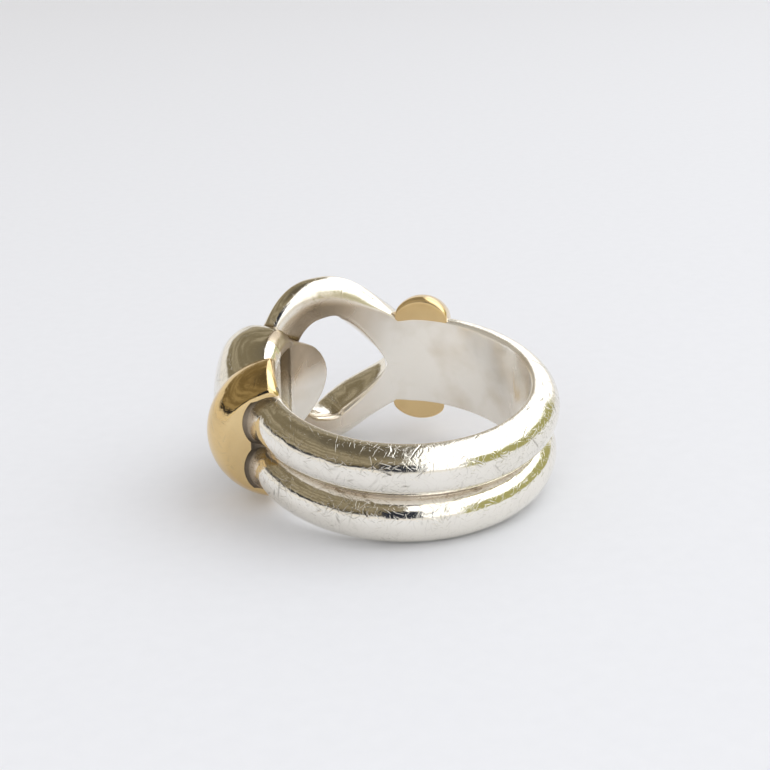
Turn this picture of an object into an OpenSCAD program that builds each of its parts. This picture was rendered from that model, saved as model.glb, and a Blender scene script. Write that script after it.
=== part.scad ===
// A silver and gold knot ring: two half-round rails side by side, one end opened into an eye,
// the other end made into a hook that passes through the eye, and a gold collar behind each.
// Directions round the ring are degrees counter-clockwise from +X, seen along the hole from above.

/* [Finger hole] */
// Diameter of the finger hole
hole_d = 16.5; // [15:0.1:20]

/* [Shank] */
// Width of the shank across both rails
shank_w = 6.7; // [6:0.1:7.4]
// Height of the rails' round centres above the finger hole
rail_lift = 0.25; // [0.1:0.05:0.8]
// Height of the solder web between the rails
web_h = 0.8; // [0.4:0.1:1.2]
// How much the rails flare where they run into the hook's collar
flare = 0.55; // [0.2:0.05:0.6]
// Length of that flare along the ring
flare_len = 1.1; // [0.8:0.1:1.5]

/* [Eye] */
// Direction of the widest part of the eye
eye_at = 129; // [126:0.5:134]
// Half the width of the eye, at the finger hole
eye_w = 5.3; // [5.1:0.05:5.5]
// Length of the eye from its widest part towards its collar
eye_front = 6.8; // [6.6:0.1:7]
// Length of the eye from its widest part to the end of its bar
eye_back = 3; // [2.8:0.1:3.1]
// How far the eye's arms bulge past that outline
bulge = 1.25; // [1:0.05:1.35]
// How far they bulge into the opening
inside = 0.4; // [0.1:0.05:0.5]
// Thickness of the arms at the widest part
arm_h = 3.1; // [2.8:0.1:3.2]
// Thickness of the bar that the hook holds
bar_h = 2.1; // [1.8:0.1:2.2]
// Height of the bar's underside above the finger hole
bar_lift = 1.4; // [1.2:0.05:1.5]
// Half the width of the opening
open_w = 3.9; // [3.7:0.1:4.1]
// Length of the opening from its widest part to its pointed end
open_front = 3.9; // [3.7:0.1:4.1]
// Length of the opening from its widest part to its round end
open_back = 2.5; // [2.3:0.1:2.7]

/* [Hook] */
// Direction of the hook's tip
tip_at = 128.5; // [126:0.5:132]
// Half the width of the hook's body over the eye
hook_w = 4.65; // [4.4:0.05:4.9]
// Height of the hook's crown there, above the finger hole
hook_h = 4.95; // [4.6:0.1:5.1]
// Half the width of the hook's root, at its collar
root_w = 4.2; // [3.9:0.1:4.3]
// Height of the root's crown
root_h = 4.05; // [3.8:0.05:4.1]
// Half the width of the hook's tongue, where it leaves the hook
tongue_w = 3.8; // [3.5:0.1:4]
// Half the width that the tongue narrows to at its round tip
tip_w = 1.7; // [1.4:0.1:2]
// Direction of the tongue's end, where a slot parts it from the root
tongue_end = 154; // [152:0.5:156]
// Direction of the slot's other side
root_at = 166; // [164:0.5:168]
// Height of the slot above the finger hole
slot_h = 1.7; // [1.5:0.1:2]
// Half the width of the slot
slot_w = 3.4; // [3:0.1:3.6]
// Room between the hook and the eye
slot_gap = 0.2; // [0.15:0.05:0.4]

/* [Collars] */
// Direction of the middle of the collar behind the hook
hook_collar_at = 189.5; // [188:0.5:192]
// Direction of the middle of the collar behind the eye
eye_collar_at = 81; // [79:0.5:82]
// Radius of a collar's round outside
collar_r = 4.85; // [4.7:0.05:5]
// How far that round's centre lies inside the finger hole's wall
collar_sink = 0.35; // [0.2:0.05:0.5]
// Width of a collar along the ring
collar_w = 3.6; // [3.2:0.1:3.8]
// Radius of the crown of the hook's collar, seen across the ring
hook_round = 3.2; // [3:0.1:4]
// Radius of the crown of the eye's collar
eye_round = 2.1; // [2:0.1:3]
// How far the crown of the hook's collar lies towards the hook
crown_shift = 0.25; // [0:0.05:0.4]
// Gap between gold and silver
fit_gap = 0.05; // [0.03:0.01:0.1]

/* [Rest] */
// How far the finger hole's axis leans when the ring lies on its side
rest_tilt = 9.85; // [9:0.01:12]
// Direction of the rails' resting point
rest_turn = -71.6; // [-80:0.1:-60]

/* [Hidden] */
hole_r = hole_d / 2;
rail_r = shank_w / 4;
// The solids start this far inside the finger hole, which then cuts them
under = 0.4;
// A length past every part of the ring
beyond = 40;
function mm_to_deg(s) = s / hole_r * 180 / PI;
function deg_to_mm(a) = a * PI / 180 * hole_r;
function mix(a, b, t) = a + (b - a) * min(1, max(0, t));
function ease(t) = let (k = min(1, max(0, t))) k * k * (3 - 2 * k);
function power(x, n) = x <= 0 ? 0 : pow(x, n);
// A coordinate of a superellipse of exponent n, from the cosine or sine of its angle
function super(c, n) = sign(c) * power(abs(c), 2 / n);
// A point at a direction, a height along the hole and a height above its wall
function on_ring(a, z, b) = [(hole_r + b) * cos(a), (hole_r + b) * sin(a), z];

// Joins rings of points, each with the same count, into one closed solid
module loft(rings) {
    n = len(rings[0]);
    last = len(rings) - 1;
    sides = [for (i = [0 : last - 1], j = [0 : n - 1])
        let (k = (j + 1) % n) [i * n + j, i * n + k, (i + 1) * n + k, (i + 1) * n + j]];
    start = [for (j = [n - 1 : -1 : 0]) j];
    end = [for (j = [0 : n - 1]) last * n + j];
    polyhedron([for (ring = rings) each ring], concat(sides, [start, end]), convexity = 6);
}

// Keeps a shape of flat facets as one solid
module facets() {
    resize([0, 0, 0]) children();
}

// Lays the ring on its side: it rests on the eye's lower arm and on the rails across from it
module at_rest() {
    rotate([0, 0, rest_turn]) rotate([0, rest_tilt, 0]) rotate([0, 0, -rest_turn]) children();
}

module finger_hole() {
    cylinder(r = hole_r, h = beyond, center = true, $fn = 180);
}

module rail_profile(extra = 0) {
    for (side = [-1, 1])
        translate([hole_r + rail_lift, side * rail_r]) circle(r = rail_r + extra, $fn = 64);
    translate([hole_r - under, -rail_r]) square([under + web_h + extra, 2 * rail_r]);
}

// The rails from one direction to another
module rails(from, to, extra = 0) {
    rotate_extrude(start = from, angle = to - from, $fn = 180) rail_profile(extra);
}

// Directions of a collar's two sides at the rails' crowns
side_deg = asin(collar_w / 2 / (hole_r + rail_lift + rail_r));

hook_face = hook_collar_at + side_deg;
// The flare's cone follows the ring's curve by leaning and sinking a little, and ends inside the rail
cove_lean = 5;
cove_sink = 0.1;
cove_inset = 0.3;
// The flare by which each rail runs into the hook's collar
module cove() {
    for (side = [-1, 1])
        rotate([0, 0, hook_collar_at])
            translate([hole_r + rail_lift - cove_sink, collar_w / 2 + fit_gap, side * rail_r])
                rotate([-90, 0, cove_lean])
                    cylinder(r1 = rail_r + flare - fit_gap, r2 = rail_r - cove_inset,
                             h = flare_len + cove_inset + cove_sink, $fn = 64);
}

module shank() {
    rails(hook_face - 2, 360 + fork_end);
    cove();
}

// The core that runs through the hook's collar
module core() {
    rails(hook_collar_at - side_deg - 3, hook_face + 0.5, flare);
}

// The eye's two outlines, laid flat: distance along the ring and height, for an angle from the fork
fork_turn = acos((eye_collar_at - eye_at + side_deg + 1) * PI / 180 * hole_r / -eye_front);
open_mid = -0.7;
function open_point(t) = let (s = t < 90 ? open_front : open_back, n = mix(1.28, 2.4, (t - 70) / 40))
    [open_mid - s * super(cos(t), n), open_w * super(sin(t), n)];
function eye_point(t) = [-(t < 90 ? eye_front : eye_back) * cos(t), eye_w * sin(t)];
turn_power = 1.34;
function eye_turn(t) = fork_turn + (180 - fork_turn) * pow(t / 180, turn_power);

// The eye starts at the flat side of its collar, at a height above the finger hole's wall
function eye_start(b) = eye_collar_at + asin((collar_w / 2 + fit_gap) / (hole_r + b - under));
// The eye leaves the finger hole's wall towards its bar
function inner_lift(s) = bar_lift * power(min(1, (s + 2) / 5), 1.6);
fork_arm_h = 2.2;
function arm_height(s) = let (swell = min(1, max(0, (s + 5.4) / 4.6)))
    mix(fork_arm_h, arm_h, sin(90 * swell)) - (arm_h - bar_h) * ease((s + 1.9) / 2.2);
arm_steps = 16;
widest_share = 0.46;
// The arm's section, point by point: share of the way from the opening's edge to the outer edge,
// how far it bulges past them, and height above the inner face
function arm_section(grow, dip, h) = let (widest = widest_share * h) concat(
    [for (i = [0 : 2]) let (t = 90 - 45 * i)
        [0, -dip * cos(t), widest * (1 - sin(t))]],
    [for (i = [1 : 3]) let (t = 30 * i, c = super(cos(t), 2.3))
        [0.5 - 0.5 * c, -dip * c, widest + (h - widest) * super(sin(t), 2.3)]],
    [for (i = [1 : 4]) let (t = 90 - 90 * i / 4)
        [0.5 + 0.5 * cos(t), grow * cos(t), widest + (h - widest) * sin(t)]],
    [for (i = [1 : 2]) let (t = 45 * i)
        [1, grow * cos(t), widest * (1 - sin(t))]]
);
function arm_ring(t, extra) = let (
    p = open_point(t),
    q = eye_point(eye_turn(t)),
    way = (q - p) / norm(q - p),
    grow = bulge * ease((q[0] + 5.1) / 4.4) - 0.3 * ease(q[0] / eye_back),
    dip = inside * ease(p[1] / 2),
    h = arm_height(p[0])
) [for (k = arm_section(grow, dip, h)) let (
    d = p + (q - p) * k[0] + way * (k[1] + extra * sign(k[0] - 0.5)),
    lift = inner_lift(d[0]),
    foot = k[2] < 0.01 ? under * (1 - ease(lift / 0.3)) + extra : 0,
    top = k[2] > widest_share * h ? extra : 0
) on_ring(max(eye_at + mm_to_deg(d[0]), eye_start(k[2])), d[1], k[2] + lift - foot + top)];
module eye(extra = 0) {
    half = [for (i = [0 : arm_steps]) arm_ring(180 * i / arm_steps, extra)];
    loft(concat(half, [for (i = [arm_steps - 1 : -1 : 0]) [for (p = half[i]) [p[0], p[1], -p[2]]]]));
}

fork_h = 1.6;
fork_start = eye_collar_at + asin(collar_w / 2 / hole_r) + 1;
fork_end = eye_at + mm_to_deg(open_mid - open_front) + 0.5;
// The metal between the rails' ends, where the arms part
module fork() {
    rotate_extrude(start = fork_start, angle = fork_end - fork_start - 0.4, $fn = 180)
        translate([hole_r - under, -rail_r]) square([under + fork_h, 2 * rail_r]);
}

hook_sides = 12;
// Lengths from the hook's tip over which its outline rounds and its crown rises
nose_len = 1.4;
rise_len = 4.5;
// Where the tongue's width steps out to the hook's, and where that starts to narrow to the root's
step_at = 3.6;
narrow_at = 5.2;
narrow_len = 2.4;
// How many degrees the shoulders lean towards the tip from the finger hole to the crown
shoulder_lean = 5;
function nose(s) = s >= nose_len ? 1 : power(1 - pow(1 - s / nose_len, 2.2), 1 / 2.2);
function rise(s, len) = s >= len ? 1 : power(1 - pow(1 - s / len, 2.4), 1 / 2.2);
hook_len = deg_to_mm(hook_collar_at - tip_at);
// The hook's stations: how far from the tip
hook_stations = [0.02, 0.15, 0.4, 0.8, 1.3, 2, 2.7, step_at, 3.9, rise_len,
    narrow_at, 5.9, 6.6, 7.4, hook_len];
function hook_ring(s) = let (
    back = ease((s - narrow_at) / narrow_len),
    tongue = mix(tip_w, tongue_w, s / step_at) * nose(s),
    w = mix(mix(tongue, hook_w, (s - step_at) / 0.3), root_w, back),
    h = mix(hook_h, root_h, back) * max(0.12, rise(s, rise_len)),
    full = mix(mix(2.2, 4, (s - 1) / 2.6), 2.1, back),
    lean = shoulder_lean * ease((s - 2) / 1.6) * (1 - back),
    a = tip_at + mm_to_deg(s)
) [for (i = [0 : hook_sides]) let (t = 180 * i / hook_sides, up = super(sin(t), full))
    on_ring(a - lean * up, -w * super(cos(t), full), mix(-under, h, up))];

// Room for a collar, between the silver on its two sides
module collar_room(at) {
    rotate([0, 0, at]) translate([hole_r - 2 * under, -collar_w / 2 - fit_gap, -beyond / 2])
        cube([beyond, collar_w + 2 * fit_gap, beyond]);
}

// The slot in the hook's underside, between the tongue's end and the root
module slot() {
    middle = (tongue_end + root_at) / 2;
    half = deg_to_mm(root_at - tongue_end) / 2;
    rotate([0, 0, middle]) translate([hole_r - 2 * under, -half, -slot_w])
        cube([2 * under + slot_h, 2 * half, 2 * slot_w]);
}

module hook() {
    facets() difference() {
        loft([for (s = hook_stations) hook_ring(s)]);
        eye(slot_gap);
        slot();
        collar_room(hook_collar_at);
    }
}

module band() {
    color("gainsboro") at_rest() difference() {
        union() {
            shank();
            core();
            fork();
            eye();
            hook();
        }
        finger_hole();
    }
}

// A barrel whose axis lies along the ring, its crown moved by shift towards the hook's tip
module barrel(at, crown, shift) {
    rotate([0, 0, at]) translate([hole_r - collar_sink, 0, 0]) rotate([90, 0, 0])
        rotate_extrude($fn = 96) intersection() {
            translate([0, -collar_w / 2]) square([collar_r, collar_w]);
            union() {
                translate([collar_r - crown, shift]) circle(r = crown, $fn = 96);
                translate([0, -collar_w / 2]) square([collar_r - crown, collar_w]);
            }
        }
}

module collar(at, crown, shift, swell) {
    reach = 2 * side_deg;
    color("goldenrod") at_rest() difference() {
        barrel(at, crown, shift);
        finger_hole();
        rails(at - reach, at + reach, swell + fit_gap);
    }
}

module hook_collar() {
    collar(hook_collar_at, hook_round, crown_shift, flare);
}

module eye_collar() {
    collar(eye_collar_at, eye_round, 0, 0);
}

band();
hook_collar();
eye_collar();
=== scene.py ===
"""The looks of a knot ring: two rails, an eye and a hook in worn silver, and two gold collars.

Shapes are worked out in millimetres in the ring's own frame, where +Z is the finger hole's axis and
directions are degrees counter-clockwise from +X. place() then leans them as the ring lies and turns them
into metres. Along the ring, s is a distance on the finger hole's wall; z is a height along the hole, and
b is a height above its wall. Directions of the room and the lights are the row's, with the front at -Y.

A named pair that goes to ramp() is where a change begins and how long it is.
"""
import math

import bmesh
import bpy
import numpy as np
from mathutils import Matrix, Vector
from mathutils.bvhtree import BVHTree


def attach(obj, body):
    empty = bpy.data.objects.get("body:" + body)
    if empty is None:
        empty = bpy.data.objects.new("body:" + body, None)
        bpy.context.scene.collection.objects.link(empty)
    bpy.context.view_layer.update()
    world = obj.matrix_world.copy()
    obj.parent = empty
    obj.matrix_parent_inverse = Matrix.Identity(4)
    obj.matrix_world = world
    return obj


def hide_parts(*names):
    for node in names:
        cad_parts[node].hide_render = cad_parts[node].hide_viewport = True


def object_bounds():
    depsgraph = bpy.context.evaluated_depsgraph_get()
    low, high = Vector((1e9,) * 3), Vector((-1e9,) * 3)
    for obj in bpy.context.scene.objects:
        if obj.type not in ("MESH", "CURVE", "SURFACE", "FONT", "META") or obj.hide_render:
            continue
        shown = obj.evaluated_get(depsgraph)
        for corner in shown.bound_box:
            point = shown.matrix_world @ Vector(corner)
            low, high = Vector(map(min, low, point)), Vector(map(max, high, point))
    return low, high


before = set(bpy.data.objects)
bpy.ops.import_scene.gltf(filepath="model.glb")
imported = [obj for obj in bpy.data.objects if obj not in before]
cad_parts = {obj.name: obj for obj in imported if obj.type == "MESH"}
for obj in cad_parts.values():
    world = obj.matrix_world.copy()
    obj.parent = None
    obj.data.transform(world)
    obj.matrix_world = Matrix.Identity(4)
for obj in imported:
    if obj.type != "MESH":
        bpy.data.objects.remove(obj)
cad_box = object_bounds()

# The finger hole's radius, and where things are along the ring, in degrees
HOLE_R = 8.25
EYE_COLLAR_AT = 81.0
TIP_AT = 128.5
EYE_AT = 129.0
TONGUE_END = 154.0
ROOT_AT = 166.0
HOOK_COLLAR_AT = 189.5
# How far a shape is kept off a surface that it would otherwise meet
JUST_OFF = 0.02

# How the ring lies: its axis leans by REST_TILT, with the low side at REST_TURN
REST_TILT = 9.85
REST_TURN = -71.6

# The photograph's camera, in the ring's own frame
LENS_PX = 1487.0
PHOTO_PX = 770.0
CAMERA_FAR = 97.57
CAMERA_ABOVE = 29.39
CAMERA_ROLL = 0.58
CENTRE_RIGHT_PX = 17.3
CENTRE_DOWN_PX = 35.0


# Small functions that the rest uses

def turn(angle, axis):
    return np.array(Matrix.Rotation(math.radians(angle), 3, axis))


LEAN = turn(REST_TURN, "Z") @ turn(REST_TILT, "Y") @ turn(-REST_TURN, "Z")


def place(points):
    """Points of the ring's own frame, in millimetres, as the ring lies, in metres."""
    return np.asarray(points, float) @ LEAN.T * 0.001


def polar(phi, radius, z):
    """Points at directions in degrees, radii and heights along the hole, as an array of rows."""
    a = np.radians(phi)
    return np.stack(np.broadcast_arrays(radius * np.cos(a), radius * np.sin(a), z), -1)


def mm_to_deg(s):
    return np.degrees(s / HOLE_R)


def deg_to_mm(angle):
    return np.radians(angle) * HOLE_R


def ease(t):
    t = np.clip(t, 0, 1)
    return t * t * (3 - 2 * t)


def ramp(x, start, length):
    """Goes smoothly from 0 to 1 while x goes on from a start by a length."""
    return ease((x - start) / length)


def mix(a, b, t):
    return a + (b - a) * np.clip(t, 0, 1)


def super_cos(t, n):
    """A superellipse's cosine: n is 2 for a round one, less for a pointed one and more for a boxy one."""
    c = np.cos(t)
    return np.sign(c) * np.abs(c) ** (2 / n)


def super_sin(t, n):
    c = np.sin(t)
    return np.sign(c) * np.abs(c) ** (2 / n)


def corner_arc(x, y, radius, first, last, count):
    """Points of an arc, with its centre and the directions that it runs between, in degrees."""
    a = np.radians(np.linspace(first, last, count))
    return np.stack([x + radius * np.cos(a), y + radius * np.sin(a)], -1)


def straight(start, end, count, ends=False):
    """Points evenly from one to another, with or without the last."""
    t = np.linspace(0, 1, count, endpoint=ends)[:, None]
    return np.array(start) * (1 - t) + np.array(end) * t


def mesh_piece(name, vertices, faces):
    """A smooth-shaded object from points of the ring's own frame, with the front of each face outwards."""
    mesh = bpy.data.meshes.new(name)
    mesh.from_pydata(place(vertices).tolist(), [], faces)
    mesh.polygons.foreach_set("use_smooth", [True] * len(mesh.polygons))
    mesh.update()
    work = bmesh.new()
    work.from_mesh(mesh)
    bmesh.ops.recalc_face_normals(work, faces=work.faces)
    work.to_mesh(mesh)
    work.free()
    piece = bpy.data.objects.new(name, mesh)
    bpy.context.scene.collection.objects.link(piece)
    return piece


def skin(rings):
    """Vertices and faces of a solid through a row of closed rings of points, capped at both ends."""
    count, size = len(rings), len(rings[0])
    vertices = np.concatenate(rings)
    faces = []
    for i in range(count - 1):
        for j in range(size):
            k = (j + 1) % size
            faces.append((i * size + j, i * size + k, (i + 1) * size + k, (i + 1) * size + j))
    faces.append(tuple(range(size - 1, -1, -1)))
    faces.append(tuple((count - 1) * size + j for j in range(size)))
    return vertices, faces


def apply_modifiers(piece):
    """Keeps what a piece's modifiers make of it, and takes them off."""
    shown = bpy.context.evaluated_depsgraph_get()
    shown.update()
    mesh = bpy.data.meshes.new_from_object(piece.evaluated_get(shown))
    old = piece.data
    piece.modifiers.clear()
    piece.data = mesh
    bpy.data.meshes.remove(old)


def cut(piece, name, vertices, faces):
    """Takes a solid away from a piece."""
    tool = mesh_piece(name, vertices, faces)
    change = piece.modifiers.new(name, "BOOLEAN")
    change.operation = "DIFFERENCE"
    change.solver = "EXACT"
    change.object = tool
    apply_modifiers(piece)
    bpy.data.objects.remove(tool)


# What the materials read at each vertex: how rubbed it is, which also places the painted reflection inside
# the finger hole, how worn it is, and where tarnish, painted shade and a painted brown reflection darken it

# Little is rubbed near the finger hole's wall, where a lighter colour and mottled patches are painted as
# reflection, and the silver is less worn from before the knot to past it
LEAST_RUB = 0.05
RUB_FROM, RUB_LEN = 0.05, 0.5
BEFORE_KNOT, KNOT_FADE = 8.0, 12.0
# The painted brown reflection on the tongue, by its height, and how far off the wall it goes
TONGUE_PAINTED_REFLECTION = 0.60
TONGUE_REFLECTION_IN = (-0.8, 2.2)
TONGUE_DEPTH = 1.0
# Painted shade where pieces are close: how far off the wall it begins, how full it is, and the gaps it
# reaches over
CONTACT_SHADE_OFF_WALL = 0.12
CONTACT_SHADE_FULL = 1.15
HOOK_BY_EYE, EYE_BY_HOOK, HOOK_BY_COLLAR = 0.45, 0.40, 0.10


def paint(piece, name, values):
    """A number at each vertex, which a material reads by name."""
    layer = piece.data.attributes.new(name, "FLOAT", "POINT")
    layer.data.foreach_set("value", np.asarray(values, np.float32).ravel())


def ring_spots(piece):
    """A piece's points in the ring's own frame: their directions in degrees, and radii and heights."""
    spots = np.empty(len(piece.data.vertices) * 3)
    piece.data.vertices.foreach_get("co", spots)
    x, y, z = (spots.reshape(-1, 3) @ LEAN * 1000).T
    return np.degrees(np.arctan2(y, x)) % 360, np.hypot(x, y), z


def paint_wear(piece, most, least):
    """How much each point is rubbed, which also places the painted reflection inside the finger hole, and how
    worn it is, from most to the least by the knot.
    """
    phi, radius, _ = ring_spots(piece)
    paint(piece, "rub_and_inside_reflection", mix(LEAST_RUB, 1, (radius - HOLE_R - RUB_FROM) / RUB_LEN))
    by_knot = ramp(phi, EYE_COLLAR_AT - BEFORE_KNOT, KNOT_FADE) * (1 - ramp(phi, HOOK_COLLAR_AT, KNOT_FADE))
    paint(piece, "wear", mix(most, least, by_knot))


def paint_tongue(hook):
    """A painted reflection: brown on the side of the hook's tongue that faces the finger, all but its low
    part.
    """
    phi, radius, z = ring_spots(hook)
    inside = (phi < ROOT_AT) & (radius < HOLE_R + TONGUE_DEPTH)
    paint(hook, "tarnish_and_shade", TONGUE_PAINTED_REFLECTION * ramp(z, *TONGUE_REFLECTION_IN) * inside)


def paint_contact_shade(piece, other, reach):
    """Painted shade: dark where another piece comes within reach, on top of what is painted already."""
    layer = piece.data.attributes["tarnish_and_shade"]
    values = np.zeros(len(piece.data.vertices), np.float32)
    layer.data.foreach_get("value", values)
    piece.data.attributes.remove(layer)
    exposed = ring_spots(piece)[1] > HOLE_R + CONTACT_SHADE_OFF_WALL
    tree = BVHTree.FromPolygons([v.co for v in other.data.vertices],
                                [p.vertices for p in other.data.polygons])
    for i, vertex in enumerate(piece.data.vertices):
        gap = tree.find_nearest(vertex.co, reach * 0.001)[3]
        if gap is not None and exposed[i]:
            values[i] = max(values[i], ease(CONTACT_SHADE_FULL - gap * 1000 / reach))
    paint(piece, "tarnish_and_shade", values)


# The band's outline is always the same row of parts, so that the shank's runs on into the eye's arms: the
# side of the groove or opening, the crown, the outer foot, the face on the finger, and the inner foot.
# These are the points in each; both feet have the same.
SIDE, CROWN, FOOT, FACE = 9, 52, 14, 10
EDGE_R = 0.22


# The eye: a loop of silver whose two arms are the rails, parted round the opening. It is laid out flat,
# with s from its widest part, the fork before it and the bar past it, and is then bent round the ring.

# The opening: its middle, its length each way and half its width, the shape of its two ends, and where one
# shape becomes the other, in degrees round it
OPEN_MID = -0.7
OPEN_FRONT = 3.9
OPEN_BACK = 2.5
OPEN_W = 3.9
OPEN_POINTED = 1.28
OPEN_ROUND = 2.4
ROUND_FROM, ROUND_LEN = 70, 40
# The eye's outer edge: its length each way and half its width, and how far it swells past that
EYE_FRONT = 6.8
EYE_BACK = 3.0
EYE_W = 5.2
TURN_POWER = 1.34
BULGE = 1.25
BULGE_IN = (-5.1, 4.4)
BAR_FLAT = 0.3
# How far the arm swells into the opening, and less so at the corner by the bar
DIP = 0.3
DIP_IN = (0, 2)
CORNER_AT, CORNER_REACH, CORNER_LESS = 0.46, 0.14, 0.7
# The arm's height at the fork, along it and at the bar
FORK_ARM_H = 2.2
ARM_H = 3.25
BAR_H = 2.1
SWELL_FROM, SWELL_LEN = -5.2, 3.4
BAR_LOW_IN = (0.30, 0.42)
# The arm's outline, and where its parts come in between the fork at 0 and the bar's middle at 1
WIDEST_AT = 0.46
ARM_BOXY = 2.15
ARM_SPREAD = 2.05
RIDGE_SHIFT = 0.35
OUTER_SLOPE = 0.35
SLOPE_IN = (0, 0.3)
OUTER_FOOT = 0.45
OUTER_FOOT_IN = (0.02, 0.25)
TIGHT_FOOT = 0.6
TIGHT_FOOT_IN = (0.35, 0.6)
NEAR_FOOT = 0.5
NEAR_FOOT_IN = (0, 0.35)
SHARP_R = 0.02
# How far the bar stands off the finger hole's wall, and how far the opening's point lies off the middle,
# which comes in along s and goes out again along -s
BAR_LIFT = 1.4
BAR_LIFT_IN = (-2.3, 6.2)
BAR_LIFT_POWER = 1.15
TIP_SKEW = 0.3
TIP_SKEW_IN = (-7.5, 2.5)
TIP_SKEW_OUT = (1.2, 2.6)
TIP_SKEW_Z = 3.6
# Painted shade on the eye, darkening it as a darker reflection would: on the side by the finger, less beside
# the opening, and fading down the lower arm
EYE_PAINTED_SHADE = 0.62
BESIDE_OPENING = 0.4
ARM_SHADE_AT, ARM_SHADE_FREE = 0.45, 0.1
LOWER_ARM_END = 0.25
ARM_STATIONS, FORK_STEP = 120, 0.0005

# A collar's width, and the degrees that half of it takes at the rails' top; the eye's outer edge begins a
# degree past its collar
COLLAR_W = 3.6
RAIL_TOP = 1.925
FORK_PAST_COLLAR = 1
COLLAR_DEG = math.degrees(math.asin(COLLAR_W / 2 / (HOLE_R + RAIL_TOP)))
FORK_S = deg_to_mm(EYE_COLLAR_AT - EYE_AT + COLLAR_DEG + FORK_PAST_COLLAR)
FORK_TURN = math.acos(FORK_S / -EYE_FRONT)


def inner_lift(s):
    """How far the eye stands off the finger hole's wall."""
    return BAR_LIFT * ramp(s, *BAR_LIFT_IN) ** BAR_LIFT_POWER


def tip_skew(s, z):
    """How far down the opening's point lies off the ring's middle."""
    along = ramp(-s, *TIP_SKEW_OUT) * ramp(s, *TIP_SKEW_IN)
    return TIP_SKEW * along * np.maximum(0, 1 - (z / TIP_SKEW_Z) ** 2)


def arm_edges(t):
    """The opening's edge and the eye's outer edge, for t from 0 at the fork to 1 at the bar's middle."""
    a = math.pi * t
    roundness = mix(OPEN_POINTED, OPEN_ROUND, (math.degrees(a) - ROUND_FROM) / ROUND_LEN)
    open_len = OPEN_FRONT if a < math.pi / 2 else OPEN_BACK
    inner = (OPEN_MID - open_len * super_cos(a, roundness), OPEN_W * super_sin(a, roundness))
    b = FORK_TURN + (math.pi - FORK_TURN) * t ** TURN_POWER
    eye_len = EYE_FRONT if b < math.pi / 2 else EYE_BACK
    outer = (-eye_len * math.cos(b), EYE_W * math.sin(b))
    return np.array(inner), np.array(outer)


def arm_sizes(t):
    """The arm's width, how far it swells past its outer edge and into the opening, and its height."""
    inner, outer = arm_edges(t)
    width = np.linalg.norm(outer - inner)
    outward = BULGE * ramp(outer[0], *BULGE_IN) - BAR_FLAT * ramp(outer[0], 0, EYE_BACK)
    at_corner = max(0, 1 - ((t - CORNER_AT) / CORNER_REACH) ** 2)
    inward = DIP * ramp(inner[1], *DIP_IN) * (1 - CORNER_LESS * at_corner)
    swell = math.sin(np.clip((inner[0] - SWELL_FROM) / SWELL_LEN, 0, 1) * math.pi / 2)
    height = mix(FORK_ARM_H, ARM_H, swell) - (ARM_H - BAR_H) * ramp(t, *BAR_LOW_IN)
    return width, outward, inward, height


def arm_outline(t):
    """The arm's outline as rows of distance from the opening's edge and height off the finger's side."""
    width, outward, inward, height = arm_sizes(t)
    edge = width + outward
    widest = WIDEST_AT * height
    near_r = SHARP_R + NEAR_FOOT * ramp(t, *NEAR_FOOT_IN)
    rise = np.linspace(0, 1, SIDE, endpoint=False)
    side = np.stack([-inward * np.sin(rise * math.pi / 2), near_r + (widest - near_r) * rise], -1)

    a = np.linspace(math.pi, 0, CROWN)
    outer_side = np.cos(a) > 0
    slope = ramp(t, *SLOPE_IN)
    across = (0.5 + 0.5 * super_cos(a, ARM_SPREAD)) ** (1 + RIDGE_SHIFT * slope)
    across = width * across + np.where(outer_side, outward, inward) * np.cos(a)
    boxy = np.where(outer_side, ARM_BOXY - OUTER_SLOPE * slope, ARM_BOXY)
    crown = np.stack([across, widest + (height - widest) * super_sin(a, boxy)], -1)

    rounded = ramp(t, *OUTER_FOOT_IN)
    tight = mix(1, TIGHT_FOOT, ramp(t, *TIGHT_FOOT_IN))
    foot_w = mix(EDGE_R, outward + OUTER_FOOT, rounded) * tight
    foot_h = mix(EDGE_R, widest, rounded) * tight
    # The crown's last points go straight down to the foot
    flank = SIDE // 2
    crown[-flank:] = straight((edge, widest), (edge, foot_h), flank + 1, True)[1:]
    u = np.linspace(0, math.pi / 2, FOOT)
    foot = np.stack([edge - foot_w * (1 - np.cos(u)), foot_h * (1 - np.sin(u))], -1)
    foot[0] = foot[0] * 0.5 + foot[1] * 0.5
    return np.concatenate([side, crown, foot,
                           straight((foot[-1, 0] - 0.1, 0), (near_r + 0.05, 0), FACE),
                           corner_arc(near_r, near_r, near_r, -90, -172, FOOT)])


def arm_run(t, outline):
    """Rows of s and z for an outline: across the arm to its outer edge, and square to that edge past it."""
    inner, outer = arm_edges(t)
    width = np.linalg.norm(outer - inner)
    length = EYE_FRONT if outer[0] < 0 else EYE_BACK
    square = np.array([outer[0] / length ** 2, outer[1] / EYE_W ** 2])
    across = outline[:, :1]
    return (inner + (outer - inner) / width * np.minimum(across, width)
            + square / np.linalg.norm(square) * np.maximum(across - width, 0))


def arm_ring(t, side):
    """The arm's outline as points: a side of 1 is above the ring's middle, and -1 is below it."""
    outline = arm_outline(t)
    s, z = arm_run(t, outline).T
    return polar(EYE_AT + mm_to_deg(s), HOLE_R + inner_lift(s) + outline[:, 1], side * z - tip_skew(s, z))


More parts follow.
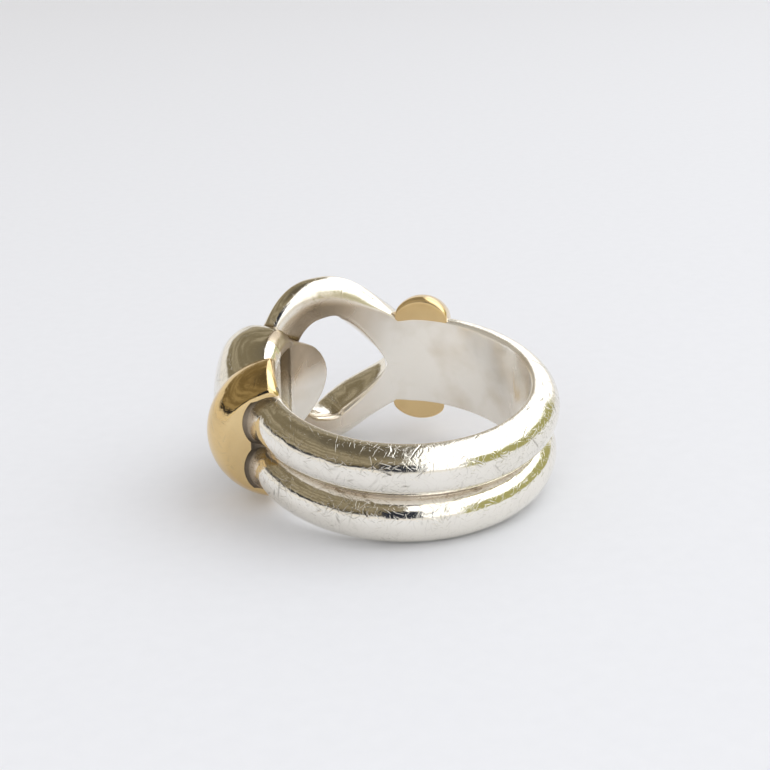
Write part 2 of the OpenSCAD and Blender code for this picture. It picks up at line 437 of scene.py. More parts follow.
def make_eye():
    arm = np.concatenate([[0, FORK_STEP], np.linspace(0, 1, ARM_STATIONS)[1:]])
    loop = [arm_ring(t, 1) for t in arm] + [arm_ring(t, -1) for t in arm[-2::-1]]
    piece = mesh_piece("eye", *skin(loop))
    # Painted shade on the side by the finger and beside the opening
    shade = np.zeros(len(loop[0]))
    shade[:SIDE] = BESIDE_OPENING
    shade[SIDE + CROWN:] = 1
    shade[SIDE + CROWN:SIDE + CROWN + FOOT] = np.linspace(0, 1, FOOT) ** 2
    on_arm = EYE_PAINTED_SHADE * ease(np.concatenate([arm, arm[-2::-1]]) / ARM_SHADE_AT - ARM_SHADE_FREE)
    on_arm[len(arm):] *= np.linspace(1, LOWER_ARM_END, len(arm) - 1)
    paint(piece, "tarnish_and_shade", np.outer(on_arm, shade))
    return piece


# The shank: two half-round rails with a groove between them. It flares by the hook's collar and turns into
# the eye's arms at the fork.

# A rail's radius, which is also its middle's z, and how far its middle is off the wall
RAIL_R = 1.675
RAIL_LIFT = 0.25
GROOVE_FLOOR = 0.8
FORK_FLOOR = 1.3
# The flare grows the rails over FLARE_LEN, measured FLARE_H off the wall, and fills the groove to FILLET_H
FLARE = 0.55
FLARE_LEN = 1.0
FLARE_H = 1.9
FILLET_H = 1.98
# In degrees: how far past the middle of the eye's collar the rails begin to part, how far before the face of
# the hook's collar the plain core ends, and how far past the flare the plain rails begin
FORK_PAST_MIDDLE = 3
CORE_SHORT = 0.3
FLARE_PAST = 0.7
CORE_STATIONS, FLARE_STATIONS, RAIL_STATIONS, FORK_STATIONS = 4, 16, 380, 22
# Darker in the groove, less so as z grows, and darker on the flare, darkest in a line by the collar
GROOVE_DARKENING = 0.85
GROOVE_THIN = 0.10
FLARE_DARKENING = 0.62
FLARE_FADE_IN = (0.3, 0.7)
FLARE_LINE = 0.08


def rail_outline(extra, web):
    """Half of the shank's outline as rows of z and b, with an extra on the radius and a groove's floor."""
    radius = RAIL_R + extra
    web = max(web, RAIL_LIFT + math.sqrt(max(radius ** 2 - RAIL_R ** 2, 0)) + JUST_OFF)
    groove = math.degrees(math.asin((web - RAIL_LIFT) / radius))
    last = math.degrees(math.asin((EDGE_R - RAIL_LIFT) / radius))
    arc = corner_arc(RAIL_R, RAIL_LIFT, radius, 180 - groove, last, CROWN)
    foot_z = arc[-1, 0] - EDGE_R
    return np.concatenate([straight((0, web), arc[0], SIDE), arc,
                           corner_arc(foot_z, EDGE_R, EDGE_R, -10, -90, FOOT),
                           straight((foot_z - 0.1, 0), (0.05, 0), FACE),
                           straight((0.04, 0), (0, 0), FOOT, True)])


def make_shank():
    face = HOOK_COLLAR_AT + COLLAR_DEG
    flare_end = face + mm_to_deg(FLARE_LEN)
    fork_from = 360 + EYE_COLLAR_AT + FORK_PAST_MIDDLE
    fork_to = 360 + EYE_AT + mm_to_deg(OPEN_MID - OPEN_FRONT)
    stations = np.concatenate([np.linspace(HOOK_COLLAR_AT, face - CORE_SHORT, CORE_STATIONS),
                               face + mm_to_deg(np.linspace(0, FLARE_LEN, FLARE_STATIONS)),
                               np.linspace(flare_end + FLARE_PAST, fork_from, RAIL_STATIONS),
                               np.linspace(fork_from, fork_to, FORK_STATIONS)[1:-1],
                               [fork_to - 0.05, fork_to]])
    # The eye's outline at the fork, as rows of z and b, with the groove's floor in it
    tip = arm_outline(0)
    tip_run = arm_run(0, tip)
    tip_section = np.stack([tip_run[:, 1], tip[:, 1]], -1)
    tip_section[:SIDE, 1] = mix(FORK_FLOOR, tip_section[SIDE, 1], np.linspace(0, 1, SIDE))
    tip_lag = mm_to_deg(tip_run[:, 0] - tip_run[0, 0])
    rings, tarnish_and_shade = [], []
    for phi in stations:
        x = np.clip(np.radians(phi - face) * (HOLE_R + FLARE_H) / FLARE_LEN, 0, 1)
        cove = 1 - math.sqrt(max(0, 1 - (1 - x) ** 2))
        section = rail_outline(FLARE * cove, mix(GROOVE_FLOOR, FILLET_H, cove))
        run = np.full(len(section), phi)
        forked = (phi - fork_from) / (fork_to - fork_from)
        if forked > 0:
            section = mix(section, tip_section, ease(forked))
            run = run + tip_lag * forked
        z, b = section.T
        skew = tip_skew(deg_to_mm(run - 360 - EYE_AT), z)
        upper = polar(run, HOLE_R + b, z - skew)
        lower = polar(run, HOLE_R + b, -z - skew)
        rings.append(np.concatenate([upper, lower[-2:0:-1]]))
        # Darker in the groove and on the flare by the collar
        by_collar = np.exp(-x / FLARE_LINE) + FLARE_DARKENING * (1 - ramp(x, *FLARE_FADE_IN))
        mark = GROOVE_DARKENING * np.exp(-z / GROOVE_THIN) * (b > 0.3) + by_collar * (b > 0.05)
        tarnish_and_shade.append(np.concatenate([mark, mark[-2:0:-1]]))
    piece = mesh_piece("shank", *skin(rings))
    paint(piece, "tarnish_and_shade", np.clip(np.concatenate(tarnish_and_shade), 0, 1))
    return piece


# The hook: a strap from its collar over the bar, whose nose turns through the eye and back as a tongue. It
# is laid out with s from its tip.

# Half widths and heights by the shoulder and at the root, and half widths of the tongue and its tip
HOOK_W = 4.75
HOOK_H = 4.95
ROOT_W = 4.2
ROOT_H = 4.1
ROOT_IN = (4.9, 2.8)
TONGUE_W = 3.8
TIP_W = 1.7
# How the tip is rounded from above and from the side, and the shoulder where the tongue becomes the strap
NOSE_LEN = 1.4
NOSE_POWER = 2.2
RISE_LEN = 4.5
RISE_POWER = 2.4
LEAST_RISE = 0.12
SHOULDER_AT = 3.45
SHOULDER_LEN = 1.1
SHOULDER_LEAN = 5.0
SHOULDER_LEAN_IN = (2, 1.6)
TONGUE_BOXY = 2.2
STRAP_BOXY = 3.4
STRAP_BOXY_IN = (1, 2.8)
ROOT_BOXY = 2.15
# The rounding of the strap's edges on the finger, and how far it goes below the wall before that is cut
INNER_ROUND = 1.15
INNER_ROUND_IN = (2.6, 1.4)
BELOW_WALL = 0.5
# The slot behind the tongue, and the room for the eye's bar
SLOT_H = 1.6
SLOT_W = 3.4
SLOT_GAP = 0.12
BAR_FROM = 0.3
# The hook ends inside its collar, HOOK_SHORT before its middle
HOOK_LEN = deg_to_mm(HOOK_COLLAR_AT - TIP_AT)
HOOK_SHORT = 0.2
TIP_STATIONS, STRAP_STATIONS = 40, 70
# The even mesh that the cut hook is made into, and how its edges are softened
VOXEL = 0.075
SOFTEN, SOFTEN_TIMES = 0.5, 30


def hook_ring(s, steps=120):
    """The hook's outline at a distance from its tip, as points."""
    back = ramp(s, *ROOT_IN)
    nose = (1 - (1 - min(s / NOSE_LEN, 1)) ** NOSE_POWER) ** (1 / NOSE_POWER)
    rise = (1 - (1 - min(s / RISE_LEN, 1)) ** RISE_POWER) ** (1 / NOSE_POWER)
    shoulder = math.sqrt(1 - (1 - np.clip((s - SHOULDER_AT) / SHOULDER_LEN, 0, 1)) ** 2)
    tongue = mix(TIP_W, TONGUE_W, s / SHOULDER_AT) * nose
    half = mix(mix(tongue, HOOK_W, shoulder), ROOT_W, back)
    height = mix(HOOK_H, ROOT_H, back) * max(LEAST_RISE, rise)
    boxy = mix(mix(TONGUE_BOXY, STRAP_BOXY, ramp(s, *STRAP_BOXY_IN)), ROOT_BOXY, back)
    lean = SHOULDER_LEAN * ramp(s, *SHOULDER_LEAN_IN) * (1 - back)
    t = np.linspace(0, math.pi, steps)
    up = super_sin(t, boxy)
    b = mix(-BELOW_WALL, height, up)
    # The strap's edges on the finger are rounded by holding z in
    edge = INNER_ROUND * ramp(s, *INNER_ROUND_IN)
    low = np.clip(edge - b, 0, edge)
    most = half - edge + np.sqrt(edge ** 2 - low ** 2)
    z = np.clip(-half * super_cos(t, boxy), -most, most)
    return polar(TIP_AT + mm_to_deg(s) - lean * up, HOLE_R + b, z)


def block(phi0, phi1, b0, b1, z1, steps=24):
    """A block between two directions, two heights above the wall, and |z| below z1."""
    b = np.array([b0, b1, b1, b0])
    z = np.array([-z1, -z1, z1, z1])
    return skin([polar(phi, HOLE_R + b, z) for phi in np.linspace(phi0, phi1, steps)])


def grown_eye(gap, steps=60):
    """The eye's loop with room round it, for cutting its passage through the hook."""
    arm = np.linspace(BAR_FROM, 1, steps)
    rings = []
    for t, side in [(t, 1) for t in arm] + [(t, -1) for t in arm[-2::-1]]:
        ring = arm_ring(t, side)
        away = ring - ring.mean(0)
        rings.append(ring + away / np.linalg.norm(away, axis=1)[:, None] * gap)
    return skin(rings)


def make_hook():
    near_tip = NOSE_LEN * (1 - np.cos(np.linspace(0.07, math.pi / 2, TIP_STATIONS)))
    stations = np.concatenate([near_tip, np.linspace(NOSE_LEN, HOOK_LEN - HOOK_SHORT, STRAP_STATIONS)[1:]])
    piece = mesh_piece("hook", *skin([hook_ring(s) for s in stations]))
    hole = [polar(np.linspace(0, 360, 240, endpoint=False), HOLE_R, z) for z in (-9, 9)]
    cut(piece, "hook_hole", *skin(hole))
    cut(piece, "hook_slot", *block(TONGUE_END, ROOT_AT, -1, SLOT_H, SLOT_W))
    cut(piece, "hook_passage", *grown_eye(SLOT_GAP))
    even = piece.modifiers.new("even", "REMESH")
    even.mode = "VOXEL"
    even.voxel_size = VOXEL * 0.001
    soft = piece.modifiers.new("soft", "SMOOTH")
    soft.factor = SOFTEN
    soft.iterations = SOFTEN_TIMES
    apply_modifiers(piece)
    piece.data.polygons.foreach_set("use_smooth", [True] * len(piece.data.polygons))
    # Paints a brown reflection on the tongue's finger side
    paint_tongue(piece)
    return piece


# The gold collars: barrels whose axis lies along the ring, COLLAR_SINK below the finger hole's wall

COLLAR_R = 4.85
COLLAR_SINK = 0.35
# The crowns' radii along the ring; the hook's collar has its highest part CROWN_SHIFT before its middle
HOOK_CROWN = 2.7
EYE_CROWN = 2.1
CROWN_SHIFT = 0.25
# How much a collar's face edges are rounded, and its feet at the first face and the last
COLLAR_EDGE = 0.16
HOOK_COLLAR_FEET = (0.35, 0.8)
EYE_COLLAR_FEET = (0.35, 0.35)
EDGE_STATIONS, COLLAR_STATIONS = 6, 34
BARREL_POINTS, FOOT_POINTS = 90, 9


def collar_section(y, crown, shift, foot):
    """A collar's outline at y along the ring from its middle, as rows of distance from the axis and z."""
    into_edge = max(0, (abs(y) - (COLLAR_W / 2 - COLLAR_EDGE)) / COLLAR_EDGE)
    radius = COLLAR_R - crown + math.sqrt(crown ** 2 - (y + shift) ** 2)
    radius -= COLLAR_EDGE * (1 - math.sqrt(max(0, 1 - into_edge ** 2)))
    wall = math.sqrt(HOLE_R ** 2 - y ** 2) + JUST_OFF
    axis = HOLE_R - COLLAR_SINK
    reach = math.acos((wall + foot - axis) / radius)
    t = np.linspace(-reach, reach, BARREL_POINTS)
    barrel = np.stack([axis + radius * np.cos(t), radius * np.sin(t)], -1)
    u = np.linspace(0, math.pi / 2, FOOT_POINTS)[1:]
    low = np.stack([wall + foot * (1 - np.sin(u)), barrel[-1, 1] - foot * (1 - np.cos(u))], -1)
    on_finger = straight((wall, low[-1, 1]), (wall, -low[-1, 1]), FOOT_POINTS)[1:]
    return np.concatenate([barrel, low, on_finger, low[::-1] * (1, -1)])


def make_collar(name, at, crown, shift, feet):
    half = COLLAR_W / 2
    ends = COLLAR_EDGE * (1 - np.cos(np.linspace(0, math.pi / 2, EDGE_STATIONS)))
    middle = np.linspace(COLLAR_EDGE - half, half - COLLAR_EDGE, COLLAR_STATIONS)[1:-1]
    outward = polar(at, 1.0, 0.0)
    forward = polar(at + 90, 1.0, 0.0)
    rings = []
    for y in np.concatenate([ends - half, middle, half - ends[::-1]]):
        section = collar_section(y, crown, shift, mix(*feet, (y + half) / COLLAR_W))
        rings.append(section[:, :1] * outward + section[:, 1:] * [0, 0, 1] + y * forward)
    return mesh_piece(name, *skin(rings))


# Materials, with sizes in metres

# Each metal's light and dark colours, its colour inside the finger hole, which on the silver is lighter as a
# painted reflection, its colour for tarnish and painted shade, its roughness, and its wear off and by the
# knot
SILVER = ((0.93, 0.895, 0.825, 1), (0.88, 0.845, 0.77, 1), (1.0, 0.965, 0.90, 1))
SILVER_TARNISH_AND_SHADE = (0.075, 0.06, 0.045, 1)
SILVER_ROUGH = 0.11
SILVER_WEAR = (1.0, 0.5)
GOLD = ((0.82, 0.62, 0.325, 1), (0.75, 0.545, 0.27, 1), (0.80, 0.59, 0.30, 1))
GOLD_TARNISH_AND_SHADE = (0.10, 0.05, 0.02, 1)
GOLD_ROUGH = 0.10
GOLD_WEAR = (0.35, 0.35)
PAPER = ((0.80, 0.81, 0.835, 1), (0.83, 0.84, 0.865, 1))
PAPER_GRAIN = 900.0

# The noises' scale and detail, the second for the painted mottled reflection inside the finger hole, and how
# far one of them moves the places where all the others are read
CLOUDS = (330.0, 5.0)
INSIDE_REFLECTION_MOTTLE = (270.0, 3.0)
DRIFT_SCALE, DRIFT = 700.0, 0.00022
# Marks: the cell that holds one mark, its half width, its half length, and a number that shifts the cells
NICKS = (0.00105, 0.00008, 0.00030, 0.3)
SCRATCHES = ((0.00062, 0.00004, 0.00026, 5.1), (0.00080, 0.00003, 0.00040, 9.7))
HAIRLINES = ((0.00036, 0.000018, 0.00017, 2.2), (0.00055, 0.000014, 0.00036, 7.9))
MARK_MIDDLE = 0.35
SCRATCH_SHARE = 0.3
# A mark's colour, its share of the colour, and its depth
NICK_COLOUR, NICK_SHARE, NICK_DEPTH = (0.30, 0.27, 0.22, 1), 0.55, 0.000022
HAIRLINE_COLOUR, HAIRLINE_SHARE, HAIRLINE_DEPTH = (0.42, 0.39, 0.34, 1), 0.30, 0.0000075
# Soft dents: the noise's scale and detail, and their depth
DENTS = ((420.0, 2.0, 0.00006), (1300.0, 3.0, 0.000014), (4200.0, 3.0, 0.0000045))
# Thin tarnish and painted shade take this colour, and so does the painted mottled reflection inside the
# finger hole
FILM_SHADE_AND_REFLECTION_COLOUR = (0.45, 0.28, 0.10, 1)
FILM_MOST = 0.6
INSIDE_REFLECTION_MOST = 0.32
# Inside the finger hole: the share of its own colour, lighter on the silver as a painted reflection, what is
# added to the roughness, and how metallic it is
INSIDE_SHARE = 0.8
INSIDE_ROUGHER = 0.06
INSIDE_METALLIC = 0.7
# What tarnish and painted shade add to the roughness
TARNISH_AND_SHADE_ROUGHER = 0.25


class Nodes:
    """A node tree, with short calls to add and join nodes."""

    def __init__(self, tree):
        self.tree = tree

    def add(self, kind, **settings):
        node = self.tree.nodes.new("ShaderNode" + kind)
        for key, value in settings.items():
            setattr(node, key, value)
        return node

    def join(self, value, socket):
        """Feeds a socket from another one, or sets it to a number, vector or colour."""
        if isinstance(value, (int, float, tuple)):
            socket.default_value = value
        else:
            self.tree.links.new(value, socket)

    def math(self, operation, a, b):
        node = self.add("Math", operation=operation)
        self.join(a, node.inputs[0])
        self.join(b, node.inputs[1])
        return node.outputs[0]

    def vector(self, operation, *values):
        """A vector, or the number that a dot product gives."""
        node = self.add("VectorMath", operation=operation)
        for value, socket in zip(values, node.inputs):
            self.join(value, socket)
        return node.outputs["Value" if operation == "DOT_PRODUCT" else "Vector"]

    def between(self, value, low, high, to_low=0.0, to_high=1.0, way="LINEAR"):
        """Goes from one number to another as a value goes from low to high, and stays there."""
        node = self.add("MapRange", interpolation_type=way)
        for name, given in (("Value", value), ("From Min", low), ("From Max", high),
                            ("To Min", to_low), ("To Max", to_high)):
            self.join(given, node.inputs[name])
        return node.outputs[0]

    def blend(self, share, a, b):
        node = self.add("Mix", data_type="RGBA")
        for given, socket in ((share, node.inputs[0]), (a, node.inputs[6]), (b, node.inputs[7])):
            self.join(given, socket)
        return node.outputs[2]

    def noise(self, where, scale, detail=2.0, output="Fac"):
        node = self.add("TexNoise")
        self.join(where, node.inputs["Vector"])
        self.join(scale, node.inputs["Scale"])
        self.join(detail, node.inputs["Detail"])
        return node.outputs[output]

    def bump(self, height, depth, before, into):
        """Raises the surface by a depth where a height is 1, or sinks it, on top of another bump."""
        node = self.add("Bump", invert=into)
        self.join(1.0, node.inputs["Strength"])
        self.join(depth, node.inputs["Distance"])
        self.join(height, node.inputs["Height"])
        if before:
            self.join(before, node.inputs["Normal"])
        return node.outputs[0]


def new_material(name):
    """A material, the calls for its nodes, and the inputs of its shader."""
    material = bpy.data.materials.new(name)
    material.use_nodes = True
    tree = material.node_tree
    return material, Nodes(tree), tree.nodes["Principled BSDF"].inputs


def marks(nodes, where, cell, width, length, shift):
    """Short straight marks, one in each cell and each its own way round: 1 in the middle of one, 0 off it."""
    moved = nodes.vector("MULTIPLY_ADD", where, (1 / cell,) * 3, (shift, shift * 1.7, shift * 0.6))
    cells = nodes.add("TexVoronoi")
    nodes.join(1.0, cells.inputs["Scale"])
    nodes.join(moved, cells.inputs["Vector"])
    away = nodes.vector("SUBTRACT", moved, cells.outputs["Position"])
    random = nodes.vector("SUBTRACT", cells.outputs["Color"], (0.5, 0.5, 0.5))
    shares = []
    for order, reach in (((0, 1, 2), width), ((2, 0, 1), length)):
        parts, joined = nodes.add("SeparateXYZ"), nodes.add("CombineXYZ")
        nodes.join(random, parts.inputs[0])
        for socket, k in zip(joined.inputs, order):
            nodes.join(parts.outputs[k], socket)
        unit = nodes.vector("NORMALIZE", joined.outputs[0])
        size = nodes.math("ABSOLUTE", nodes.vector("DOT_PRODUCT", unit, away), 0)
        shares.append(nodes.between(size, reach / cell, MARK_MIDDLE * reach / cell))
    return nodes.math("MULTIPLY", *shares)


def worn_metal(name, light, dark, inside, tarnish_and_shade, rough):
    """Polished metal that has been worn: dents, nicks and hairlines; tarnish, painted shade and painted
    reflection where they are painted on its points; and inside the finger hole a lighter colour and mottled
    patches, which are painted reflection.
    """
    material, nodes, shader = new_material(name)
    rub_and_inside_reflection, wear, tarnish_and_shade_in = (nodes.add("Attribute", attribute_name=layer).outputs["Fac"]
                        for layer in ("rub_and_inside_reflection", "wear", "tarnish_and_shade"))
    plain = nodes.add("TexCoord").outputs["Object"]
    drift = nodes.noise(plain, DRIFT_SCALE, output="Color")
    where = nodes.vector("MULTIPLY_ADD", drift, (DRIFT,) * 3, plain)
    clouds = nodes.noise(where, *CLOUDS)

    scratches = nodes.math("MAXIMUM", *(marks(nodes, where, *sizes) for sizes in SCRATCHES))
    scratches = nodes.math("MULTIPLY", scratches, SCRATCH_SHARE)
    nicks = nodes.math("MAXIMUM", marks(nodes, where, *NICKS), scratches)
    nicks = nodes.math("MULTIPLY", nicks, nodes.math("MULTIPLY", nodes.between(clouds, 0.45, 0.63), rub_and_inside_reflection))
    hairlines = nodes.math("MAXIMUM", *(marks(nodes, where, *sizes) for sizes in HAIRLINES))
    patchy = nodes.between(clouds, 0.38, 0.60, 0.45, 1.0)
    hairlines = nodes.math("MULTIPLY", hairlines, nodes.math("MULTIPLY", rub_and_inside_reflection, patchy))

    # Tarnish, painted shade and the tongue's painted reflection, as painted on the points and broken up by
    # the clouds
    tarnish_and_shade_mask = nodes.math("MULTIPLY", tarnish_and_shade_in, nodes.between(clouds, 0.3, 0.6, 0.7, 1.0))
    # Mottled patches inside the finger hole, a painted reflection
    inside_reflection_mottle = nodes.between(nodes.noise(where, *INSIDE_REFLECTION_MOTTLE), 0.48, 0.70, 0.0, INSIDE_REFLECTION_MOST)
    inside_reflection_mottle = nodes.math("MULTIPLY", inside_reflection_mottle, nodes.between(rub_and_inside_reflection, 0.0, 0.9, 1.0, 0.0))
    film_shade_and_reflection = nodes.math("MAXIMUM", nodes.between(tarnish_and_shade_mask, 0.0, 0.5, 0.0, FILM_MOST), inside_reflection_mottle)

    colour = nodes.blend(nodes.between(clouds, 0.35, 0.65), light, dark)
    # Inside the finger hole the colour goes to the inside one, on the silver a lighter painted reflection
    colour = nodes.blend(nodes.between(rub_and_inside_reflection, 0.0, 0.9, INSIDE_SHARE, 0.0), colour, inside)
    for found, strength, tint in ((nicks, NICK_SHARE, NICK_COLOUR),
                                  (hairlines, HAIRLINE_SHARE, HAIRLINE_COLOUR)):
        share = nodes.math("MULTIPLY", found, nodes.math("MULTIPLY", wear, strength))
        colour = nodes.blend(share, colour, tint)
    colour = nodes.blend(film_shade_and_reflection, colour, FILM_SHADE_AND_REFLECTION_COLOUR)
    colour = nodes.blend(nodes.between(tarnish_and_shade_mask, 0.3, 1.0), colour, tarnish_and_shade)
    nodes.join(colour, shader["Base Color"])

    roughness = nodes.between(clouds, 0.3, 0.7, rough * 0.7, rough * 1.4)
    roughness = nodes.math("ADD", roughness, nodes.between(rub_and_inside_reflection, 0.1, 1.0, INSIDE_ROUGHER, 0.0))
    roughness = nodes.math("ADD", roughness, nodes.math("MULTIPLY", tarnish_and_shade_mask, TARNISH_AND_SHADE_ROUGHER))
    nodes.join(roughness, shader["Roughness"])
    nodes.join(nodes.between(rub_and_inside_reflection, 0.0, 0.9, INSIDE_METALLIC, 1.0), shader["Metallic"])

    relief = [(nodes.noise(where, scale, detail), depth, False) for scale, detail, depth in DENTS]
    relief += [(nicks, NICK_DEPTH, True), (hairlines, HAIRLINE_DEPTH, True)]
    shape = None
    for height, depth, into in relief:
        shape = nodes.bump(nodes.math("MULTIPLY", height, wear), depth, shape, into)
    nodes.join(shape, shader["Normal"])
    return material


def paper():
    """White paper with a faint grain."""
    material, nodes, shader = new_material("paper")
    grain = nodes.noise(nodes.add("TexCoord").outputs["Object"], PAPER_GRAIN)
    nodes.join(nodes.blend(grain, *PAPER), shader["Base Color"])
    shader["Roughness"].default_value = 0.7
    shader["Specular IOR Level"].default_value = 0.2
    return material


def dress(piece, material):
    piece.data.materials.clear()
    piece.data.materials.append(material)


# The set: floor, lights, room and camera, with sizes in metres

FLOOR_R = 1.2
FLOOR_DROP = 0.00002
# A light's direction from the ring, its distance, its side, its watts and its colour
MAIN_LIGHT = ((0.66, 0.06, 0.80), 0.5, 0.50, 0.86, (0.90, 0.94, 1.0))
FILL_LIGHT = ((-0.05, -0.84, 0.36), 0.6, 0.50, 1.08, (0.88, 0.94, 1.0))


def make_floor(level):
    bpy.ops.mesh.primitive_circle_add(vertices=96, radius=FLOOR_R, fill_type="NGON", location=(0, 0, level))
    floor = bpy.context.object
    floor.name = "floor"
    dress(floor, paper())


def make_light(name, direction, distance, size, watts, colour):
    """A square soft light at a direction from the ring, aimed at it."""
    data = bpy.data.lights.new(name, "AREA")
    data.size = size
    data.energy = watts
    data.color = colour
    lamp = bpy.data.objects.new(name, data)
    lamp.location = Vector(direction).normalized() * distance
    lamp.rotation_mode = "QUATERNION"
    lamp.rotation_quaternion = Vector(direction).to_track_quat("Z", "Y")
    bpy.context.scene.collection.objects.link(lamp)
    return lamp


# The room's colours
ROOM_FRONT = (0.86, 0.83, 0.78, 1)
ROOM_BROWN = (0.20, 0.165, 0.10, 1)
ROOM_UMBER = (0.36, 0.31, 0.21, 1)
ROOM_OVERHEAD = (0.13, 0.11, 0.075, 1)
ROOM_WINDOW = (1.55, 1.56, 1.55, 1)
ROOM_LEAF = (0.40, 0.38, 0.15, 1)
ROOM_PERSON = (0.028, 0.032, 0.045, 1)
ROOM_DARK = (0.02, 0.022, 0.03, 1)
ROOM_AMBIENT = (0.755, 0.735, 0.725, 1)
# Where each begins and is full, or goes at its END, by how far up, right, to the front or back a ray goes
CEILING_UP = (0.20, 0.24)
OVERHEAD_UP = (0.78, 0.96)
BACK = (0.2, 0.5)
DARK_UP, DARK_UP_END = (0.15, 0.19), (0.25, 0.29)
DARK_RIGHT_END = (0.10, 0.30)
WINDOW_UP, WINDOW_RIGHT = (0.10, 0.20), (0.10, 0.16)
LEAVES_RIGHT, LEAVES_UP_END = (0.62, 0.74), (0.44, 0.54)
PERSON_RIGHT, PERSON_RIGHT_END = (-0.24, -0.19), (0.22, 0.27)
PERSON_UP, PERSON_UP_END = (0.08, 0.14), (0.52, 0.62)
PERSON_FRONT = (0.3, 0.5)
# How much lower the ceiling begins at the back
CEILING_LOWER = 0.06
# Two noises break up the room: the clutter moves the edges and parts the leaves, and the beams are overhead
CLUTTER = (5.0, 4.0)
EDGE_WOBBLE = 0.22
BEAM_SCALE, BEAM_FLAT = 1.7, (1.0, 1.0, 7.0)
BEAM_PATCHES = (0.40, 0.62)
LEAF_GAPS = (0.64, 0.72)


def make_world():
    """The room that the metal mirrors: brown overhead, a window with leaves to the right, pale below."""
    world = bpy.data.worlds.new("room")
    world.use_nodes = True
    bpy.context.scene.world = world
    nodes = Nodes(world.node_tree)
    way = nodes.vector("NORMALIZE", nodes.add("TexCoord").outputs["Generated"])
    up, right, front, back = (nodes.vector("DOT_PRODUCT", way, direction)
                              for direction in ((0, 0, 1), (1, 0, 0), (0, -1, 0), (0, 1, 0)))

    def past(value, edge):
        """0 to 1 as a value passes an edge."""
        return nodes.between(value, *edge, way="SMOOTHSTEP")

    def short_of(value, edge):
        return nodes.math("SUBTRACT", 1.0, past(value, edge))

    def both(first, *others):
        for other in others:
            first = nodes.math("MULTIPLY", first, other)
        return first

    clutter = nodes.noise(way, *CLUTTER)
    wobble = nodes.math("MULTIPLY", nodes.math("SUBTRACT", clutter, 0.5), EDGE_WOBBLE)
    height, side = nodes.math("ADD", up, wobble), nodes.math("ADD", right, wobble)
    beams = nodes.noise(nodes.vector("MULTIPLY", way, BEAM_FLAT), BEAM_SCALE)

    ceiling = nodes.blend(past(beams, BEAM_PATCHES), ROOM_BROWN, ROOM_UMBER)
    ceiling = nodes.blend(past(up, OVERHEAD_UP), ceiling, ROOM_OVERHEAD)
    from_ceiling = nodes.math("SUBTRACT", height, nodes.math("MULTIPLY", past(back, BACK), CEILING_LOWER))
    room = nodes.blend(past(from_ceiling, CEILING_UP), ROOM_FRONT, ceiling)
    dark = both(past(height, DARK_UP), short_of(height, DARK_UP_END), short_of(back, BACK),
                short_of(side, DARK_RIGHT_END))
    room = nodes.blend(dark, room, ROOM_DARK)
    room = nodes.blend(both(past(side, WINDOW_RIGHT), past(up, WINDOW_UP)), room, ROOM_WINDOW)
    leaves = nodes.blend(past(clutter, LEAF_GAPS), ROOM_LEAF, ROOM_WINDOW)
    room = nodes.blend(both(past(side, LEAVES_RIGHT), short_of(height, LEAVES_UP_END)), room, leaves)
    person = both(both(past(right, PERSON_RIGHT), short_of(right, PERSON_RIGHT_END)),
                  both(past(height, PERSON_UP), short_of(height, PERSON_UP_END)), past(front, PERSON_FRONT))
    room = nodes.blend(person, room, ROOM_PERSON)
    room = nodes.blend(nodes.add("LightPath").outputs["Is Diffuse Ray"], room, ROOM_AMBIENT)
    background = world.node_tree.nodes["Background"].inputs
    nodes.join(room, background["Color"])
    nodes.join(1.0, background["Strength"])


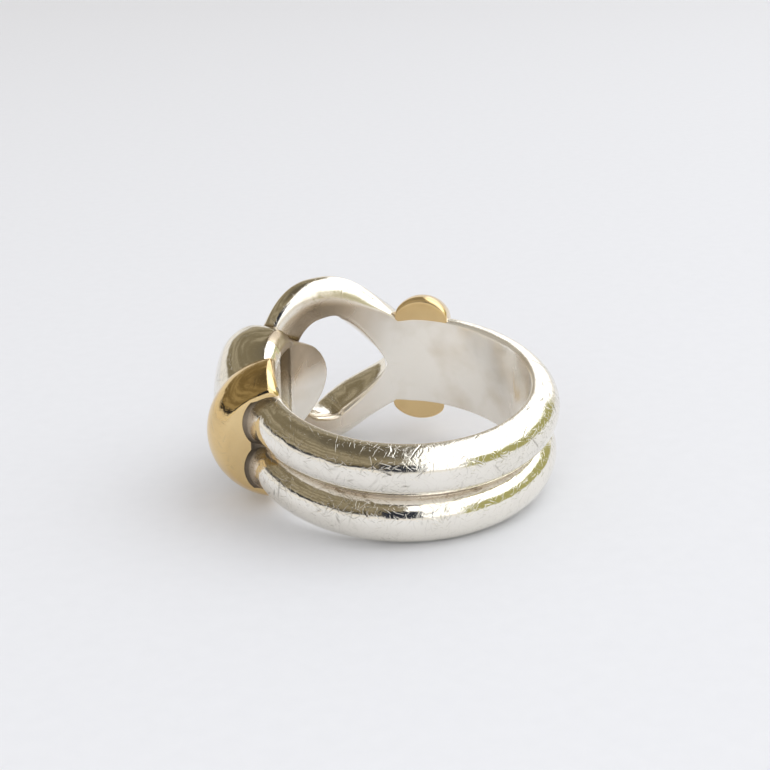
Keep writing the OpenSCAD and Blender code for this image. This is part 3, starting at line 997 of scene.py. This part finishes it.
def make_camera():
    """The photograph's camera, worked out in the ring's own frame and then leaned with the ring."""
    above, roll = math.radians(CAMERA_ABOVE), math.radians(CAMERA_ROLL)
    axis = np.array([math.sin(roll) * math.cos(above), -math.cos(roll) * math.cos(above), -math.sin(above)])
    across = np.array([math.cos(roll), math.sin(roll), 0.0])
    turned = np.stack([across, np.cross(axis, across), axis], 1)
    offset = np.array([CENTRE_RIGHT_PX, CENTRE_DOWN_PX, LENS_PX]) * CAMERA_FAR / LENS_PX
    right, down, forward = (LEAN @ row for row in turned)
    data = bpy.data.cameras.new("camera")
    data.sensor_width = 36.0
    data.lens = data.sensor_width * LENS_PX / PHOTO_PX
    data.clip_start, data.clip_end = 0.005, 10.0
    camera = bpy.data.objects.new("camera", data)
    spot = place([-turned.T @ offset])[0]
    rows = [[*row, at] for row, at in zip(np.stack([right, -down, -forward], 1), spot)]
    camera.matrix_world = Matrix(rows + [[0, 0, 0, 1]])
    bpy.context.scene.collection.objects.link(camera)
    bpy.context.scene.camera = camera


shank = make_shank()
eye = make_eye()
hook = make_hook()
hook_collar = make_collar("collar_by_hook", HOOK_COLLAR_AT, HOOK_CROWN, CROWN_SHIFT, HOOK_COLLAR_FEET)
eye_collar = make_collar("collar_by_eye", EYE_COLLAR_AT, EYE_CROWN, 0.0, EYE_COLLAR_FEET)
# Painted shade where the hook, the eye and the hook's collar come close
paint_contact_shade(hook, eye, HOOK_BY_EYE)
paint_contact_shade(eye, hook, EYE_BY_HOOK)
paint_contact_shade(hook, hook_collar, HOOK_BY_COLLAR)

silver = worn_metal("worn_silver", *SILVER, SILVER_TARNISH_AND_SHADE, SILVER_ROUGH)
gold = worn_metal("worn_gold", *GOLD, GOLD_TARNISH_AND_SHADE, GOLD_ROUGH)
for piece in (shank, eye, hook):
    dress(piece, silver)
    paint_wear(piece, *SILVER_WEAR)
    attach(piece, "root")
    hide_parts("band")
for piece, node in ((hook_collar, "hook_collar"), (eye_collar, "eye_collar")):
    dress(piece, gold)
    paint_wear(piece, *GOLD_WEAR)
    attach(piece, "root")
    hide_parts(node)

make_camera()
make_world()
make_floor(cad_box[0].z - FLOOR_DROP)
make_light("main", *MAIN_LIGHT)
fill = make_light("fill", *FILL_LIGHT)
fill.visible_glossy = False
bpy.context.scene.view_settings.view_transform = "Standard"
